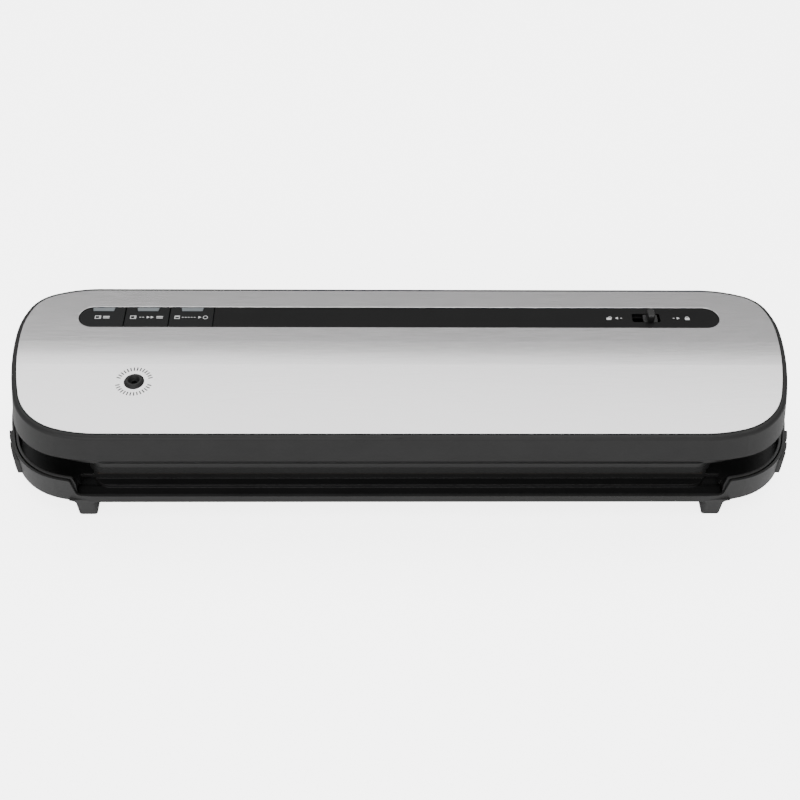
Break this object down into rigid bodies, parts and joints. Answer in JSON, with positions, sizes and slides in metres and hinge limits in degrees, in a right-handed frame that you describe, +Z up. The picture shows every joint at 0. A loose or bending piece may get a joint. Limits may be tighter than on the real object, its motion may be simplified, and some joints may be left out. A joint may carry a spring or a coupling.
{
  "type": "vacuum sealer",
  "caption": "Compact food vacuum sealer with a hinged lid, steel top plate, bag mouth along the front, sliding lid latch, push keys and a hose port.",
  "frame": {"origin": "centre of the footprint, on the surface the feet stand on", "axes": "+X to the right along the bag mouth, -Y towards the front, +Z up"},
  "size_m": [0.3948, 0.1038, 0.0656],
  "materials": {
    "base_shell": "fine satin texture",
    "inner_black": "matte",
    "grip_rubber": "matte",
    "black_rubber": "matte",
    "steel": "satin",
    "gasket_foam": "matte",
    "nichrome": "satin",
    "ptfe_tape": "smooth woven",
    "switch_black": "matte",
    "circuit_board": "gloss",
    "transformer_iron": "satin",
    "capacitor_sleeve": "gloss",
    "aluminium": "satin",
    "lid_shell": "fine satin texture",
    "brushed_plate": "fine brushed",
    "strip_gloss": "semi gloss",
    "key_plastic": "semi gloss",
    "window_plastic": "frosted",
    "lamp_resin": "gloss",
    "knob_plastic": "satin",
    "hose_silicone": "translucent",
    "silicone_strip": "ribbed matte",
    "pump_plastic": "matte"
  },
  "bodies": {
    "base": {"base_housing": "base_shell", "base_deck": "inner_black", "bottom_cover": "inner_black", "side_grip_left": "grip_rubber", "side_grip_right": "grip_rubber", "foot_pads": "black_rubber", "hinge_pins": "steel", "drip_tray": "inner_black", "lower_gasket": "gasket_foam", "heater_carrier": "inner_black", "heating_element": "nichrome", "heater_tape": "ptfe_tape", "latch_catches": "steel", "catch_screws": "steel", "lid_switch": "switch_black", "power_board": "circuit_board", "board_screws": "steel", "transformer": "transformer_iron", "capacitors": "capacitor_sleeve", "heat_sink": "aluminium", "cord_gland": "black_rubber", "base_screws": "steel"},
    "lid": {"lid_shell": "lid_shell", "lid_liner": "inner_black", "lid_screws": "steel", "top_plate": "brushed_plate", "control_strip": "strip_gloss", "indicator_windows": "window_plastic", "indicator_lamps": "lamp_resin", "control_board": "circuit_board", "button_switches": "switch_black", "accessory_port": "black_rubber", "port_tube": "inner_black", "port_hose": "hose_silicone", "upper_gasket": "gasket_foam", "pressure_strip": "silicone_strip", "pump_head": "pump_plastic", "pump_cover": "pump_plastic", "motor_can": "steel", "pump_cradle": "black_rubber", "selector_valve": "pump_plastic", "intake_nozzle": "inner_black", "pump_hose": "hose_silicone"},
    "latch": {"slider_knob": "knob_plastic", "latch_bar": "inner_black"},
    "accessory_key_body": {"accessory_key": "key_plastic"},
    "vacuum_key_body": {"vacuum_key": "key_plastic"},
    "seal_key_body": {"seal_key": "key_plastic"},
    "rotor": {"motor_rotor": "steel", "eccentric": "pump_plastic"}
  },
  "joints": [
    {"name": "lid_hinge", "type": "hinge", "parent": "base", "child": "lid", "pos_m": [0, 0.0445, 0.035], "axis": [-1, 0, 0], "range_deg": [0, 80], "deforming": ["latch_catches"]},
    {"name": "latch_slide", "type": "slide", "parent": "lid", "child": "latch", "axis": [-1, 0, 0], "range_m": [0, 0.0054]},
    {"name": "accessory_press", "type": "slide", "parent": "lid", "child": "accessory_key_body", "axis": [0, 0, -1], "range_m": [0, 0.0008], "stiffness_N_per_m": 600},
    {"name": "vacuum_press", "type": "slide", "parent": "lid", "child": "vacuum_key_body", "axis": [0, 0, -1], "range_m": [0, 0.0008], "stiffness_N_per_m": 600},
    {"name": "seal_press", "type": "slide", "parent": "lid", "child": "seal_key_body", "axis": [0, 0, -1], "range_m": [0, 0.0008], "stiffness_N_per_m": 600},
    {"name": "rotor_spin", "type": "hinge", "parent": "lid", "child": "rotor", "pos_m": [-0.058, -0.002, 0.046], "axis": [1, 0, 0], "continuous": true}
  ]
}
